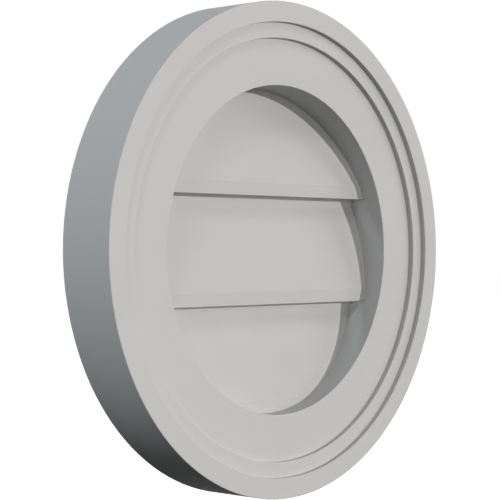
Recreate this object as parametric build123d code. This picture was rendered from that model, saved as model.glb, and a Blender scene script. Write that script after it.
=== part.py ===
from build123d import *
from math import ceil, cos, hypot, radians, sin, tan
import os

# A round gable vent that is fixed on the face of a wall. A thick ring with a stepped
# front carries three fixed louvres, and a wire screen is stapled into its back.
# The origin is the centre of the back of the ring, in the plane of the wall.
# +X is to the right of the vent, +Y runs into the wall and +Z is up, so the front faces -Y.

# Ring
outer_diameter = 304.8
frame_width = 50.8
projection = 38.1
rim_width = 12.7
ledge_width = 9.525
rim_step = 3.175
ledge_step = 3.175
arris = 0.25

# Louvres, one for each place, from the lowest up
louvre_places = ("bottom", "middle", "top")
louvre_lean = 11.8
louvre_thickness = 3.2
louvre_overlap = 3.2
louvre_edge_radius = 0.25
louvre_screen_gap = 0.75
seat_depth = 4.0
seat_clearance = 0.2

# Screen
screen_thickness = 0.8
screen_margin = 6.5
screen_clearance = 0.3
screen_recess = 1.6
edge_band_width = 8.0
wire_width = 1.2
wire_pitch = 20.0

# Staples
staple_count = 12
staple_crown = 12.7
staple_leg = 6.5
staple_wire_width = 0.9
staple_wire_thickness = 0.45
staple_tip = 1.2
staple_inset = 3.0
staple_clearance = 0.1

outer_radius = outer_diameter / 2
bore_radius = outer_radius - frame_width
rim_inner_radius = outer_radius - rim_width
ledge_inner_radius = rim_inner_radius - ledge_width
front_y = -projection
ledge_y = front_y + rim_step
face_y = ledge_y + ledge_step

louvre_count = len(louvre_places)
louvre_pitch = 2 * bore_radius / louvre_count
louvre_turn = radians(louvre_lean)
louvre_slope = tan(louvre_turn)
seat_radius = bore_radius + seat_depth

screen_radius = seat_radius + screen_margin
recess_radius = screen_radius + screen_clearance
recess_floor_y = -screen_recess
screen_back_y = recess_floor_y + screen_thickness
staple_radius = screen_radius - staple_inset

louvre_rise = louvre_pitch + louvre_overlap
louvre_depth = louvre_slope * louvre_rise + louvre_thickness * cos(louvre_turn)
louvre_front_y = recess_floor_y - louvre_screen_gap - louvre_depth

# Longer than the ring is wide, for prisms that a cylinder then trims.
past_edge = outer_diameter


def disc(radius, y_low, y_high):
    """A cylinder about the Y axis between two depths."""
    circle = Plane.XZ.offset(-y_low) * Circle(radius)
    return extrude(circle, amount=y_low - y_high)


def side_prism(points, corner_radius=0):
    """A section given as (y, z) points, extruded both ways along X."""
    section = make_face(Polyline(*[(0, y, z) for y, z in points], close=True))
    prism = extrude(section, amount=past_edge, dir=(1, 0, 0), both=True)
    if corner_radius:
        prism = fillet(prism.edges().filter_by(Axis.X), corner_radius)
    return prism


def louvre_low_z(index):
    """Height of a louvre's lower edge, counted from the bottom of the bore."""
    return -bore_radius + index * louvre_pitch


def louvre_face_y(index, z):
    """Depth of a louvre's front face at a height. Its top leans back to the screen."""
    return louvre_front_y + louvre_slope * (z - louvre_low_z(index))


def behind_face(index, z, depth):
    """The (y, z) point square behind a louvre's face, counted from a height on the face."""
    return (louvre_face_y(index, z) + depth * cos(louvre_turn), z - depth * sin(louvre_turn))


def frame_profile():
    """Half section of the ring, with X as the radius and Y as the depth."""
    section = make_face(
        Polyline(
            (bore_radius, 0),
            (outer_radius, 0),
            (outer_radius, front_y),
            (rim_inner_radius, front_y),
            (rim_inner_radius, ledge_y),
            (ledge_inner_radius, ledge_y),
            (ledge_inner_radius, face_y),
            (bore_radius, face_y),
            close=True,
        )
    )
    eased = [
        (outer_radius, 0),
        (outer_radius, front_y),
        (rim_inner_radius, front_y),
        (ledge_inner_radius, ledge_y),
        (bore_radius, face_y),
    ]
    corners = [v for v in section.vertices() if any(hypot(v.X - x, v.Y - y) < 1e-6 for x, y in eased)]
    return chamfer(corners, arris)


def louvre_seats():
    """Cut from the back of the ring: square saw teeth, with a slanted floor and a ledge for each louvre."""
    bottom = louvre_low_z(0) - seat_depth
    top = louvre_low_z(louvre_count) + seat_depth
    ledge_depth = louvre_slope * louvre_pitch * cos(louvre_turn)
    outline = [(past_edge, bottom), (louvre_face_y(0, bottom), bottom)]
    for index in range(1, louvre_count):
        low = louvre_low_z(index)
        outline.append(behind_face(index, low, ledge_depth))
        outline.append(behind_face(index, low, 0))
    outline += [(louvre_face_y(louvre_count - 1, top), top), (past_edge, top)]
    return side_prism(outline) & disc(seat_radius, front_y, 1)


def at_each_staple(piece):
    """Copies of a piece that is made at the top of the screen, one for each staple."""
    first = 180 / staple_count
    step = 360 / staple_count
    return [Rot(0, first + step * number, 0) * piece for number in range(staple_count)]


def staple():
    """A flat wire staple at the top of the screen, with chisel points on its legs."""
    half = staple_crown / 2
    inner = half - staple_wire_thickness
    crown_y = screen_back_y + staple_wire_thickness
    tip_y = crown_y - staple_leg
    outline = [
        (-half, crown_y),
        (half, crown_y),
        (half, tip_y),
        (inner, tip_y + staple_tip),
        (inner, screen_back_y),
        (-inner, screen_back_y),
        (-inner, tip_y + staple_tip),
        (-half, tip_y),
    ]
    section = make_face(Polyline(*[(x, y, staple_radius) for x, y in outline], close=True))
    return extrude(section, amount=staple_wire_width / 2, dir=(0, 0, 1), both=True)


def staple_holes():
    """The pair of narrow holes that one staple's legs fill, through the screen and into the ring."""
    tip_y = screen_back_y + staple_wire_thickness - staple_leg
    leg_x = (staple_crown - staple_wire_thickness) / 2
    depth = -tip_y + staple_clearance
    hole = Box(
        staple_wire_thickness + 2 * staple_clearance,
        2 * depth,
        staple_wire_width + 2 * staple_clearance,
    )
    return [Pos(side * leg_x, 0, staple_radius) * hole for side in (-1, 1)]


def all_staple_holes():
    return [hole for one in staple_holes() for hole in at_each_staple(one)]


def frame_ring():
    ring = revolve(frame_profile(), Axis.Y)
    ring -= louvre_seats()
    ring -= disc(recess_radius, recess_floor_y, 1)
    return ring - all_staple_holes()


def louvre(index):
    """A flat slat. Its long edges are square to its face and its ends are trimmed to the round seat."""
    below = index == 0
    above = index == louvre_count - 1
    low = louvre_low_z(index) - (past_edge - bore_radius if below else 0)
    high = louvre_low_z(index + 1) + (past_edge - bore_radius if above else louvre_overlap)
    section = [
        behind_face(index, low, 0),
        behind_face(index, low, louvre_thickness),
        behind_face(index, high, louvre_thickness),
        behind_face(index, high, 0),
    ]
    slat = side_prism(section, louvre_edge_radius)
    return slat & disc(seat_radius - seat_clearance, front_y - past_edge, past_edge)


def insect_screen():
    """Wires that cross in two layers, held together by a flat band round the edge."""
    mid_y = (recess_floor_y + screen_back_y) / 2
    band_radius = screen_radius - edge_band_width
    wire_reach = screen_radius - edge_band_width / 2
    each_side = ceil(band_radius / wire_pitch) - 1
    band = disc(screen_radius, recess_floor_y, screen_back_y)
    band -= disc(band_radius, recess_floor_y, screen_back_y)
    # Each wire is a little more than half as thick as the screen, so that crossing wires join.
    bite = screen_thickness / 8
    upright_y = (recess_floor_y, mid_y + bite)
    level_y = (mid_y - bite, screen_back_y)
    wires = []
    for number in range(-each_side, each_side + 1):
        offset = number * wire_pitch
        length = 2 * (wire_reach**2 - offset**2) ** 0.5
        upright = Box(wire_width, upright_y[1] - upright_y[0], length)
        level = Box(length, level_y[1] - level_y[0], wire_width)
        wires.append(Pos(offset, sum(upright_y) / 2, 0) * upright)
        wires.append(Pos(0, sum(level_y) / 2, offset) * level)
    return band + wires - all_staple_holes()


def write(name, shape):
    export_step(shape, f"parts/{name}.step")


os.makedirs("parts", exist_ok=True)
write("frame_ring", frame_ring())
for index, place in enumerate(louvre_places):
    write(f"louvre_{place}", louvre(index))
write("insect_screen", insect_screen())
write("screen_staples", Compound(children=at_each_staple(staple())))
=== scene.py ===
import math

import bmesh
import bpy
from mathutils import Matrix, Vector


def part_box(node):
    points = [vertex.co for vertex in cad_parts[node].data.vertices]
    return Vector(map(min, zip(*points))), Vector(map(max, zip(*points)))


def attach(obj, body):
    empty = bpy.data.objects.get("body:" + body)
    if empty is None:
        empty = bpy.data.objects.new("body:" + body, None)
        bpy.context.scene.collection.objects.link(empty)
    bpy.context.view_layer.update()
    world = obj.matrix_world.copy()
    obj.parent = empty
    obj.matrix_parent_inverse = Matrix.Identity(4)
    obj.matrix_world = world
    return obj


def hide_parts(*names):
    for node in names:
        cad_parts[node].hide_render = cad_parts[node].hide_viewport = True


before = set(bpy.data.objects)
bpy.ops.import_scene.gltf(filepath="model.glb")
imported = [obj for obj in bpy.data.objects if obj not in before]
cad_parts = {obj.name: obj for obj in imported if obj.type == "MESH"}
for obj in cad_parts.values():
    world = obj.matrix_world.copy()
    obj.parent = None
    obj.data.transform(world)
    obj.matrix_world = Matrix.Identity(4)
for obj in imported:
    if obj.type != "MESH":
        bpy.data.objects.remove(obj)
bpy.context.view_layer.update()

# Lengths are in metres unless a comment says otherwise. The front of the vent faces -Y and +Z is up.
MM = 0.001
RING_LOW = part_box("frame_ring")[0]
SCREEN_LOW, SCREEN_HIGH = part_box("insect_screen")
FRONT_Y = RING_LOW.y

# Louvres, from the lowest up. The lowest stretch of each face, its nose, is upright inside the bore.
BORE_RADIUS = 101.6 * MM
BORE_SEGMENTS = 256
LOUVRES = ("louvre_bottom", "louvre_middle", "louvre_top")
LOUVRE_PITCH = 2 * BORE_RADIUS / len(LOUVRES)
LOUVRE_LEAN = math.radians(11.8)
NOSE_Y = FRONT_Y + 19.45 * MM
NOSE_ARRIS = 0.25 * MM
NOSE_SEGMENTS = 3

# Points of a louvre that are closer than this become one, and so do faces that turn by less than this.
WELD_DISTANCE = 0.001 * MM
FLAT_TURN = math.radians(1)
# An edge with both its ends this close to the corner of a nose is the corner's edge.
CORNER_REACH = 0.01 * MM
# The round ends of a louvre have normals with less than this along the depth.
END_NORMAL_Y = 0.01

# Wire cloth: eight wires to the inch.
CLOTH_PITCH = 25.4 * MM / 8
CLOTH_WIRE = 0.4 * MM
CLOTH_SIDES = 5
# The length of a crest, where a wire passes over another, as a share of the pitch.
CLOTH_CREST = 0.22

# Camera: its place as seen from the centre of the ring's front, and the turn by which it looks past that.
CAMERA_AZIMUTH = math.radians(-49.407)
CAMERA_DISTANCE = 0.957
CAMERA_TURN = math.radians(1.542)
# Both of these are in millimetres.
SENSOR_WIDTH = 36.0
FOCAL_LENGTH = 112.0
# The camera sees what is between these distances.
CAMERA_NEAREST = 0.01
CAMERA_FARTHEST = 50.0

WHITE = (1.0, 1.0, 1.0)
COOL_WHITE = (0.9, 0.965, 1.0)
# Only the direction of a far lamp counts, so all of them stand at one distance.
FAR_LAMP_DISTANCE = 1.0
# Lamps far away: name, degrees to the right of the front, degrees above the horizon, spread, strength, color.
FAR_LAMPS = (
    ("key", 19.8, 6.8, 1.2, 1.48, WHITE),
    ("right", 60.0, 5.0, 30.0, 1.02, WHITE),
    ("right_high", 45.0, 45.0, 30.0, 0.34, WHITE),
    ("left_front", -60.0, 35.0, 15.0, 0.6, WHITE),
    ("left", -105.0, 35.0, 15.0, 1.4, COOL_WHITE),
    ("left_back", -150.0, 20.0, 20.0, 0.5, WHITE),
    ("right_back", 150.0, 8.0, 30.0, 0.8, WHITE),
    ("back", 180.0, 0.0, 8.0, 1.5, WHITE),
)
# A round lamp close by, with its strength given as for a far lamp.
FILL_AZIMUTH = -10.0
FILL_HEIGHT = 3.0
FILL_DISTANCE = 1.0
FILL_WIDTH = 0.5
FILL_STRENGTH = 0.71
# The sky is dark up to this sine of the height above the horizon, and from there it grows evenly to
# this brightness overhead.
SKY_START = 0.02
SKY_TOP = 0.05

# Floor: how far it is below the ring, its radius, and the number of sides of its rim.
FLOOR_DROP = 0.06
FLOOR_RADIUS = 6.0
FLOOR_SIDES = 64
# How pale it is where it is seen, what it glows with there, and how pale it is as a source of light.
FLOOR_SEEN = 0.9
FLOOR_GLOW = 0.6
FLOOR_AS_SOURCE = 0.02


def to_linear(value):
    """One sRGB channel, from 0 to 255, as linear light."""
    share = value / 255
    return share / 12.92 if share <= 0.04045 else ((share + 0.055) / 1.055) ** 2.4


def srgb(red, green, blue):
    """An opaque color from its sRGB channels."""
    return (to_linear(red), to_linear(green), to_linear(blue), 1.0)


def grey(brightness):
    return (brightness, brightness, brightness, 1.0)


class Nodes:
    """Short calls for one node tree."""

    def __init__(self, tree):
        self.tree = tree
        tree.nodes.clear()

    def add(self, kind, **settings):
        node = self.tree.nodes.new(kind)
        for name, value in settings.items():
            setattr(node, name, value)
        return node

    def link(self, out_socket, in_socket):
        self.tree.links.new(out_socket, in_socket)

    def feed(self, value, in_socket):
        """Sets a socket to a value, or links another node's output to it."""
        if isinstance(value, bpy.types.NodeSocket):
            self.link(value, in_socket)
        else:
            in_socket.default_value = value

    def math(self, operation, first, second=0.0):
        node = self.add("ShaderNodeMath", operation=operation)
        self.feed(first, node.inputs[0])
        self.feed(second, node.inputs[1])
        return node.outputs[0]

    def parts(self, vector):
        """The X, Y and Z outputs of a vector."""
        node = self.add("ShaderNodeSeparateXYZ")
        self.link(vector, node.inputs[0])
        return node.outputs

    def remap(self, value, source, target):
        """Carries a value from one range over to another, and stops at the ends."""
        node = self.add("ShaderNodeMapRange")
        self.feed(value, node.inputs["Value"])
        node.inputs["From Min"].default_value = source[0]
        node.inputs["From Max"].default_value = source[1]
        node.inputs["To Min"].default_value = target[0]
        node.inputs["To Max"].default_value = target[1]
        return node.outputs[0]

    def noise(self, vector, scale, detail=2.0, roughness=0.5):
        node = self.add("ShaderNodeTexNoise")
        self.feed(vector, node.inputs["Vector"])
        node.inputs["Scale"].default_value = scale
        node.inputs["Detail"].default_value = detail
        node.inputs["Roughness"].default_value = roughness
        return node.outputs["Fac"]

    def stretch(self, vector, scale):
        node = self.add("ShaderNodeMapping")
        self.feed(vector, node.inputs["Vector"])
        node.inputs["Scale"].default_value = scale
        return node.outputs[0]

    def mix_color(self, share, first, second):
        node = self.add("ShaderNodeMix", data_type="RGBA")
        self.feed(share, node.inputs["Factor"])
        self.feed(first, node.inputs["A"])
        self.feed(second, node.inputs["B"])
        return node.outputs["Result"]

    def mix_number(self, share, first, second):
        node = self.add("ShaderNodeMix", data_type="FLOAT")
        self.feed(share, node.inputs[0])
        self.feed(first, node.inputs[2])
        self.feed(second, node.inputs[3])
        return node.outputs[0]

    def bump(self, height, distance):
        node = self.add("ShaderNodeBump")
        self.link(height, node.inputs["Height"])
        node.inputs["Distance"].default_value = distance
        node.inputs["Strength"].default_value = RELIEF_STRENGTH
        return node.outputs[0]

    def shader(self, kind, **sockets):
        """A shader with these sockets set or fed. An underscore in a name stands for a space."""
        node = self.add(kind)
        for name, value in sockets.items():
            self.feed(value, node.inputs[name.replace("_", " ")])
        return node.outputs[0]

    def mix_shader(self, share, first, second):
        node = self.add("ShaderNodeMixShader")
        self.link(share, node.inputs[0])
        self.link(first, node.inputs[1])
        self.link(second, node.inputs[2])
        return node.outputs[0]

    def finish(self, kind, surface):
        """Ends the tree in an output of this kind."""
        output = self.add(kind)
        self.link(surface, output.inputs["Surface"])


def new_material(name):
    material = bpy.data.materials.new(name)
    material.use_nodes = True
    return material, Nodes(material.node_tree)


def finish_surface(nodes, **sockets):
    """A principled shader with these sockets set or fed, as the material's surface."""
    nodes.finish("ShaderNodeOutputMaterial", nodes.shader("ShaderNodeBsdfPrincipled", **sockets))


# Colors of the PVC, each from its lighter to its darker clouds: the ring, the louvres and all cut faces.
RING_LIGHT, RING_DARK = srgb(199, 198, 196), srgb(195, 194, 192)
LOUVRE_LIGHT, LOUVRE_DARK = srgb(196, 195, 193), srgb(191, 190, 188)
# The cut faces are darker than the skin partly for their duller open cells and partly as painted shade.
SHADED_CUT_LIGHT, SHADED_CUT_DARK = srgb(188, 189, 189), srgb(183, 184, 184)
# A cut face's normal has less than the first of these along the depth, and a flat one's more than the second.
CUT_TO_FLAT = (0.55, 0.85)
SKIN_ROUGHNESS = (0.68, 0.76)
CUT_ROUGHNESS = 0.8
PVC_SPECULAR = 0.1
# The grain and the marks of the cutter are drawn out along each axis that has less than one.
RING_GRAIN = (0.35, 1.0, 1.0)
LOUVRE_GRAIN = (0.12, 1.0, 1.0)
TOOL_MARKS = (0.02, 1.0, 0.02)
# How much of the skin's color is speckle, of the skin's relief is grain, and of a cut's relief is open cells.
SPECKLE_SHARE = 0.25
GRAIN_SHARE = 0.35
CELL_SHARE = 0.55

# Each metal's color and roughness, then how much lighter, smoother and rougher it is in places.
STEEL, STEEL_ROUGHNESS = srgb(170, 172, 174), 0.38
ALUMINIUM, ALUMINIUM_ROUGHNESS = srgb(196, 198, 200), 0.34
METAL_LIGHTER = 1.12
METAL_SMOOTHER = 0.07
METAL_ROUGHER = 0.1

# How deep the relief of each material is, and how strongly all relief shows.
PVC_RELIEF = 0.04 * MM
METAL_RELIEF = 0.01 * MM
RELIEF_STRENGTH = 0.5

# The middle part of a noise, wide or narrow, that is spread over the whole of a range.
WIDE_MIDDLE = (0.3, 0.7)
NARROW_MIDDLE = (0.35, 0.65)
WHOLE = (0.0, 1.0)


def pvc(name, light, dark, grain):
    """Cellular PVC: a smooth skin on flat faces, and duller cut faces whose darker color is partly painted
    shade.
    """
    material, nodes = new_material(name)
    place = nodes.add("ShaderNodeTexCoord").outputs["Object"]
    normal = nodes.add("ShaderNodeNewGeometry").outputs["True Normal"]
    facing = nodes.math("ABSOLUTE", nodes.parts(normal)["Y"])
    cut = nodes.remap(facing, CUT_TO_FLAT, (1.0, 0.0))

    cloud = nodes.noise(place, scale=14.0, detail=3.0, roughness=0.55)
    speckle = nodes.noise(place, scale=1400.0, roughness=0.6)
    tone = nodes.mix_number(SPECKLE_SHARE, cloud, speckle)
    skin_color = nodes.mix_color(nodes.remap(tone, WIDE_MIDDLE, WHOLE), dark, light)
    # Darker color on the cut faces: partly their duller cells, partly painted shade on the bore walls and
    # risers.
    shaded_cut_color = nodes.mix_color(nodes.remap(speckle, WIDE_MIDDLE, WHOLE), SHADED_CUT_DARK, SHADED_CUT_LIGHT)
    color = nodes.mix_color(cut, skin_color, shaded_cut_color)

    skin_grain = nodes.noise(nodes.stretch(place, grain), scale=260.0, detail=4.0)
    skin_height = nodes.mix_number(GRAIN_SHARE, nodes.noise(place, scale=620.0), skin_grain)
    tool_marks = nodes.noise(nodes.stretch(place, TOOL_MARKS), scale=1500.0, roughness=0.7)
    cells = nodes.noise(place, scale=2600.0, detail=1.0)
    cut_height = nodes.mix_number(CELL_SHARE, tool_marks, cells)
    height = nodes.mix_number(cut, skin_height, cut_height)
    relief = nodes.bump(height, PVC_RELIEF)

    dull = nodes.noise(place, scale=90.0, detail=3.0)
    skin_roughness = nodes.remap(dull, NARROW_MIDDLE, SKIN_ROUGHNESS)
    roughness = nodes.mix_number(cut, skin_roughness, CUT_ROUGHNESS)
    finish_surface(
        nodes, Base_Color=color, Roughness=roughness, Normal=relief, Specular_IOR_Level=PVC_SPECULAR
    )
    return material


def wire_metal(name, color, roughness):
    """Drawn or plated wire: fine scratches and small differences in shade and shine."""
    material, nodes = new_material(name)
    place = nodes.add("ShaderNodeTexCoord").outputs["Object"]
    dull = nodes.noise(place, scale=260.0, detail=3.0)
    fine = nodes.noise(place, scale=5200.0, roughness=0.7)
    lighter = tuple(min(1.0, channel * METAL_LIGHTER) for channel in color[:3]) + (1.0,)
    shade = nodes.mix_color(nodes.remap(dull, NARROW_MIDDLE, WHOLE), color, lighter)
    rough = nodes.remap(dull, NARROW_MIDDLE, (roughness - METAL_SMOOTHER, roughness + METAL_ROUGHER))
    relief = nodes.bump(fine, METAL_RELIEF)
    finish_surface(nodes, Base_Color=shade, Roughness=rough, Normal=relief, Metallic=1.0)
    return material


def dress(node_name, material):
    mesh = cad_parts[node_name].data
    mesh.materials.clear()
    mesh.materials.append(material)


def new_piece(name, mesh):
    """An object made from a mesh, which isn't used again."""
    data = bpy.data.meshes.new(name)
    mesh.to_mesh(data)
    mesh.free()
    piece = bpy.data.objects.new(name, data)
    bpy.context.scene.collection.objects.link(piece)
    return piece


def bore_plug():
    """A cylinder that fills the bore from in front of the ring back to the louvres' noses."""
    length = 2 * (NOSE_Y - FRONT_Y)
    upright_to_depth = Matrix.Rotation(math.pi / 2, 4, "X")
    mesh = bmesh.new()
    bmesh.ops.create_cone(
        mesh,
        cap_ends=True,
        segments=BORE_SEGMENTS,
        radius1=BORE_RADIUS,
        radius2=BORE_RADIUS,
        depth=length,
        matrix=Matrix.Translation((0, NOSE_Y - length / 2, 0)) @ upright_to_depth,
    )
    return new_piece("bore_plug", mesh)


def louvre_body(name):
    """The CAD louvre, welded into flat faces."""
    mesh = bmesh.new()
    mesh.from_mesh(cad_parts[name].data)
    bmesh.ops.remove_doubles(mesh, verts=mesh.verts, dist=WELD_DISTANCE)
    bmesh.ops.dissolve_limit(mesh, angle_limit=FLAT_TURN, verts=mesh.verts, edges=mesh.edges)
    return mesh


def trim_below(mesh, corner):
    """Cuts a louvre off below the lower corner of its nose, square to its slope."""
    up_slope = Vector((0, math.sin(LOUVRE_LEAN), math.cos(LOUVRE_LEAN)))
    everything = mesh.verts[:] + mesh.edges[:] + mesh.faces[:]
    bmesh.ops.bisect_plane(mesh, geom=everything, plane_co=corner, plane_no=up_slope, clear_inner=True)
    open_edges = [edge for edge in mesh.edges if edge.is_boundary]
    bmesh.ops.holes_fill(mesh, edges=open_edges)


def ease_corner(mesh, corner):
    """Rounds the lower corner of a nose."""
    under = []
    for edge in mesh.edges:
        ends = [Vector((0, vert.co.y, vert.co.z)) for vert in edge.verts]
        if all((end - corner).length < CORNER_REACH for end in ends):
            under.append(edge)
    bmesh.ops.bevel(
        mesh, geom=under, offset=NOSE_ARRIS, segments=NOSE_SEGMENTS, profile=0.5, affect="EDGES"
    )


def louvre_with_nose(index, plug, material):
    """A louvre whose nose is upright where it shows in the bore. Its ends in the seat stay as they are."""
    name = LOUVRES[index]
    corner = Vector((0, NOSE_Y, index * LOUVRE_PITCH - BORE_RADIUS))
    hangs_free = index > 0
    body = louvre_body(name)
    if hangs_free:
        trim_below(body, corner)
    blade = new_piece(f"{name}_blade", body)
    planed = blade.modifiers.new("nose", "BOOLEAN")
    planed.operation = "DIFFERENCE"
    planed.solver = "EXACT"
    planed.object = plug
    mesh = bmesh.new()
    mesh.from_object(blade, bpy.context.evaluated_depsgraph_get())
    blade.modifiers.clear()
    if hangs_free:
        ease_corner(mesh, corner)
    for face in mesh.faces:
        face.smooth = abs(face.normal.y) < END_NORMAL_Y
    mesh.to_mesh(blade.data)
    mesh.free()
    blade.data.materials.append(material)
    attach(blade, "root")
    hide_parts(name)


def louvres(material):
    plug = bore_plug()
    for index in range(len(LOUVRES)):
        louvre_with_nose(index, plug, material)
    bpy.data.objects.remove(plug)


def tube(mesh, path, side, radius, sides):
    """A closed tube along a path. One side of its section points along the vector side."""
    rings = []
    for index, point in enumerate(path):
        ahead = path[min(index + 1, len(path) - 1)] - path[max(index - 1, 0)]
        across = ahead.cross(side).normalized()
        ring = []
        for step in range(sides):
            turn = 2 * math.pi * step / sides
            ring.append(mesh.verts.new(point + radius * (math.cos(turn) * side + math.sin(turn) * across)))
        rings.append(ring)
    for near, far in zip(rings, rings[1:]):
        for step in range(sides):
            after = (step + 1) % sides
            mesh.faces.new((near[step], near[after], far[after], far[step]))
    mesh.faces.new(list(reversed(rings[0])))
    mesh.faces.new(rings[-1])


def cloth_wire(mesh, along, across, number, middle_y, radius, count):
    """One wire of the cloth. It goes over and under the wires that cross it."""
    offset = number * CLOTH_PITCH
    reach = math.sqrt(max(radius**2 - offset**2, 0.0))
    crest = CLOTH_CREST * CLOTH_PITCH
    weave_sign = 1 if along.z else -1
    stops = [-reach]
    for crossing in range(-count, count + 1):
        for from_crossing in (-crest / 2, crest / 2):
            stop = crossing * CLOTH_PITCH + from_crossing
            if abs(stop) < reach - crest:
                stops.append(stop)
    stops.append(reach)
    path = []
    for stop in stops:
        crossing = round(stop / CLOTH_PITCH)
        over = weave_sign * (1 if (crossing + number) % 2 else -1)
        depth = Vector((0, middle_y + over * CLOTH_WIRE / 2, 0))
        path.append(along * stop + across * offset + depth)
    tube(mesh, path, across, CLOTH_WIRE / 2, CLOTH_SIDES)


def wire_cloth(material):
    """The woven wire cloth that lies in the back of the ring."""
    radius = (SCREEN_HIGH.x - SCREEN_LOW.x) / 2
    middle_y = (SCREEN_LOW.y + SCREEN_HIGH.y) / 2
    count = int(radius / CLOTH_PITCH)
    right, up = Vector((1, 0, 0)), Vector((0, 0, 1))
    mesh = bmesh.new()
    for number in range(-count, count + 1):
        cloth_wire(mesh, up, right, number, middle_y, radius, count)
        cloth_wire(mesh, right, up, number, middle_y, radius, count)
    bmesh.ops.recalc_face_normals(mesh, faces=mesh.faces)
    for face in mesh.faces:
        face.smooth = len(face.verts) == 4
    piece = new_piece("wire_cloth", mesh)
    piece.data.materials.append(material)
    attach(piece, "root")
    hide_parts("insect_screen")


def add_camera():
    scene = bpy.context.scene
    camera = bpy.data.cameras.new("camera")
    camera.sensor_width = SENSOR_WIDTH
    camera.lens = FOCAL_LENGTH
    camera.clip_start = CAMERA_NEAREST
    camera.clip_end = CAMERA_FARTHEST
    holder = bpy.data.objects.new("camera", camera)
    away = Vector((math.sin(CAMERA_AZIMUTH), -math.cos(CAMERA_AZIMUTH), 0))
    holder.location = Vector((0, FRONT_Y, 0)) + away * CAMERA_DISTANCE
    heading = CAMERA_AZIMUTH + CAMERA_TURN
    look = Vector((-math.sin(heading), math.cos(heading), 0))
    holder.rotation_euler = look.to_track_quat("-Z", "Y").to_euler()
    scene.collection.objects.link(holder)
    scene.camera = holder


def toward(azimuth, height):
    """Unit vector from the vent to a place given in degrees to the right of its front and upwards."""
    turn, rise = math.radians(azimuth), math.radians(height)
    return Vector((math.sin(turn) * math.cos(rise), -math.cos(turn) * math.cos(rise), math.sin(rise)))


def place_lamp(lamp, where, distance, color):
    lamp.color = color
    holder = bpy.data.objects.new(lamp.name, lamp)
    holder.location = where * distance
    holder.rotation_euler = (-where).to_track_quat("-Z", "Y").to_euler()
    holder.visible_camera = False
    bpy.context.scene.collection.objects.link(holder)


def add_lamps():
    for name, azimuth, height, spread, strength, color in FAR_LAMPS:
        lamp = bpy.data.lights.new(name, "SUN")
        lamp.energy = strength
        lamp.angle = math.radians(spread)
        place_lamp(lamp, toward(azimuth, height), FAR_LAMP_DISTANCE, color)
    fill = bpy.data.lights.new("fill_front", "AREA")
    fill.shape = "DISK"
    fill.size = FILL_WIDTH
    fill.energy = FILL_STRENGTH * math.pi * FILL_DISTANCE**2
    place_lamp(fill, toward(FILL_AZIMUTH, FILL_HEIGHT), FILL_DISTANCE, WHITE)


def seen_directly(nodes):
    """One for rays from the camera, and for those that a shiny or clear surface sends on."""
    path = nodes.add("ShaderNodeLightPath")
    shiny = nodes.math("MAXIMUM", path.outputs["Is Glossy Ray"], path.outputs["Is Transmission Ray"])
    return nodes.math("MAXIMUM", path.outputs["Is Camera Ray"], shiny)


def add_world():
    """White where it is looked at, and a faint sky as a source of light."""
    world = bpy.data.worlds.new("studio")
    bpy.context.scene.world = world
    world.use_nodes = True
    nodes = Nodes(world.node_tree)
    direction = nodes.add("ShaderNodeTexCoord").outputs["Generated"]
    sky = nodes.remap(nodes.parts(direction)["Z"], (SKY_START, 1.0), (0.0, SKY_TOP))
    light = nodes.shader("ShaderNodeBackground", Color=grey(1.0), Strength=sky)
    white = nodes.shader("ShaderNodeBackground", Color=grey(1.0), Strength=1.0)
    nodes.finish("ShaderNodeOutputWorld", nodes.mix_shader(seen_directly(nodes), light, white))


def floor_material():
    """White where it is looked at, with the vent's shadow on it, and dark as a source of light."""
    material, nodes = new_material("floor")
    dark = nodes.shader("ShaderNodeBsdfDiffuse", Color=grey(FLOOR_AS_SOURCE))
    pale = nodes.shader("ShaderNodeBsdfDiffuse", Color=grey(FLOOR_SEEN))
    glow = nodes.shader("ShaderNodeEmission", Color=grey(1.0), Strength=FLOOR_GLOW)
    lit = nodes.add("ShaderNodeAddShader")
    nodes.link(pale, lit.inputs[0])
    nodes.link(glow, lit.inputs[1])
    surface = nodes.mix_shader(seen_directly(nodes), dark, lit.outputs[0])
    nodes.finish("ShaderNodeOutputMaterial", surface)
    return material


def add_floor():
    mesh = bmesh.new()
    height = RING_LOW.z - FLOOR_DROP
    rim = []
    for step in range(FLOOR_SIDES):
        turn = 2 * math.pi * step / FLOOR_SIDES
        rim.append(mesh.verts.new((FLOOR_RADIUS * math.cos(turn), FLOOR_RADIUS * math.sin(turn), height)))
    mesh.faces.new(rim)
    floor = new_piece("floor", mesh)
    floor.data.materials.append(floor_material())


bpy.context.scene.view_settings.view_transform = "Standard"
add_camera()
add_lamps()
add_world()
add_floor()

dress("frame_ring", pvc("frame_pvc", RING_LIGHT, RING_DARK, RING_GRAIN))
louvres(pvc("louvre_pvc", LOUVRE_LIGHT, LOUVRE_DARK, LOUVRE_GRAIN))
dress("screen_staples", wire_metal("staple_steel", STEEL, STEEL_ROUGHNESS))
wire_cloth(wire_metal("screen_wire", ALUMINIUM, ALUMINIUM_ROUGHNESS))
